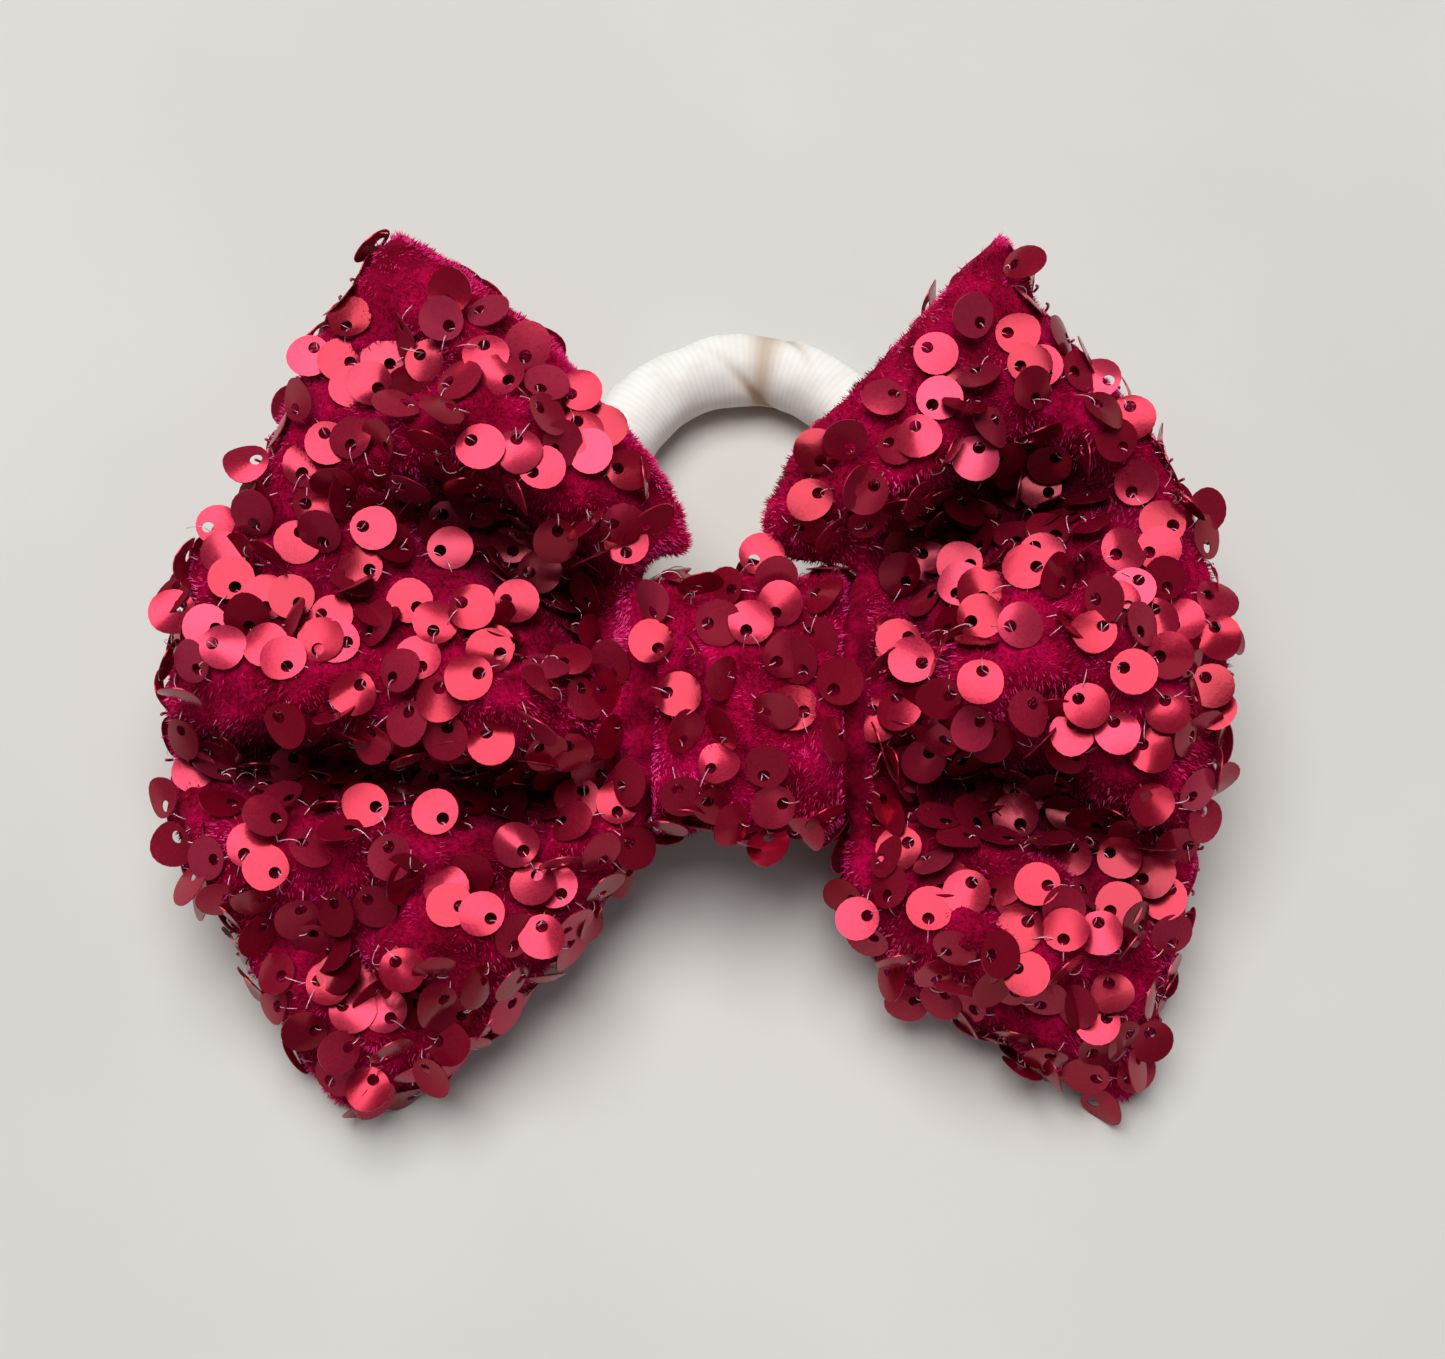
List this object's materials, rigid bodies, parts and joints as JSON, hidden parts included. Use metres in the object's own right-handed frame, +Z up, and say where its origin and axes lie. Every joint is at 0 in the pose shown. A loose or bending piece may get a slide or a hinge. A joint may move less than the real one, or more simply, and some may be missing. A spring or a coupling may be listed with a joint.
{
  "type": "hair bow",
  "caption": "Puffy two-winged hair bow of sequinned velvet with a gathered waist and centre wrap, sewn onto a thick knitted elastic hair tie.",
  "frame": {"origin": "middle of the underside of the whole bow as it lies on a table", "axes": "+X along the bow to the right-hand wing as seen from its face, +Y from the lower wing tips towards the upper tips and the hair tie, +Z up from the table; the bow's face looks up and towards -Y, its plane 20 degrees from the table"},
  "size_m": [0.1134, 0.0906, 0.0401],
  "materials": {
    "velvet": "matte",
    "sequins": "satin",
    "thread": "satin",
    "fibrefill": "matte",
    "hair_tie_knit": "matte",
    "elastic": "matte"
  },
  "bodies": {
    "bow_centre": {"waist_gathers": "velvet", "waist_binding_thread": "thread", "centre_wrap": "velvet", "wrap_end_flap": "velvet", "wrap_stitches": "thread", "centre_sequins": "sequins"},
    "left_wing": {"left_front_panel": "velvet", "left_back_panel": "velvet", "left_filling": "fibrefill", "left_front_sequins": "sequins", "left_back_sequins": "sequins", "left_seam_stitches": "thread"},
    "right_wing": {"right_front_panel": "velvet", "right_back_panel": "velvet", "right_filling": "fibrefill", "right_front_sequins": "sequins", "right_back_sequins": "sequins", "right_seam_stitches": "thread"},
    "hair_tie": {"hair_tie_cover": "hair_tie_knit", "hair_tie_elastic": "elastic", "hair_tie_join": "hair_tie_knit"}
  },
  "joints": [
    {"name": "hair_tie_swing", "type": "hinge", "parent": "bow_centre", "child": "hair_tie", "pos_m": [0.00537, 0.0008, 0.00667], "axis": [1, 0, 0], "range_deg": [-130, 4]},
    {"name": "left_wing_flex", "type": "hinge", "parent": "bow_centre", "child": "left_wing", "pos_m": [-0.00723, -0.00562, 0.017], "axis": [0, 0.9397, 0.342], "range_deg": [-8, 8], "stiffness_Nm_per_rad": 0.12},
    {"name": "right_wing_flex", "type": "hinge", "parent": "bow_centre", "child": "right_wing", "pos_m": [0.01797, -0.00562, 0.017], "axis": [0, 0.9397, 0.342], "range_deg": [-8, 3], "stiffness_Nm_per_rad": 0.12}
  ]
}
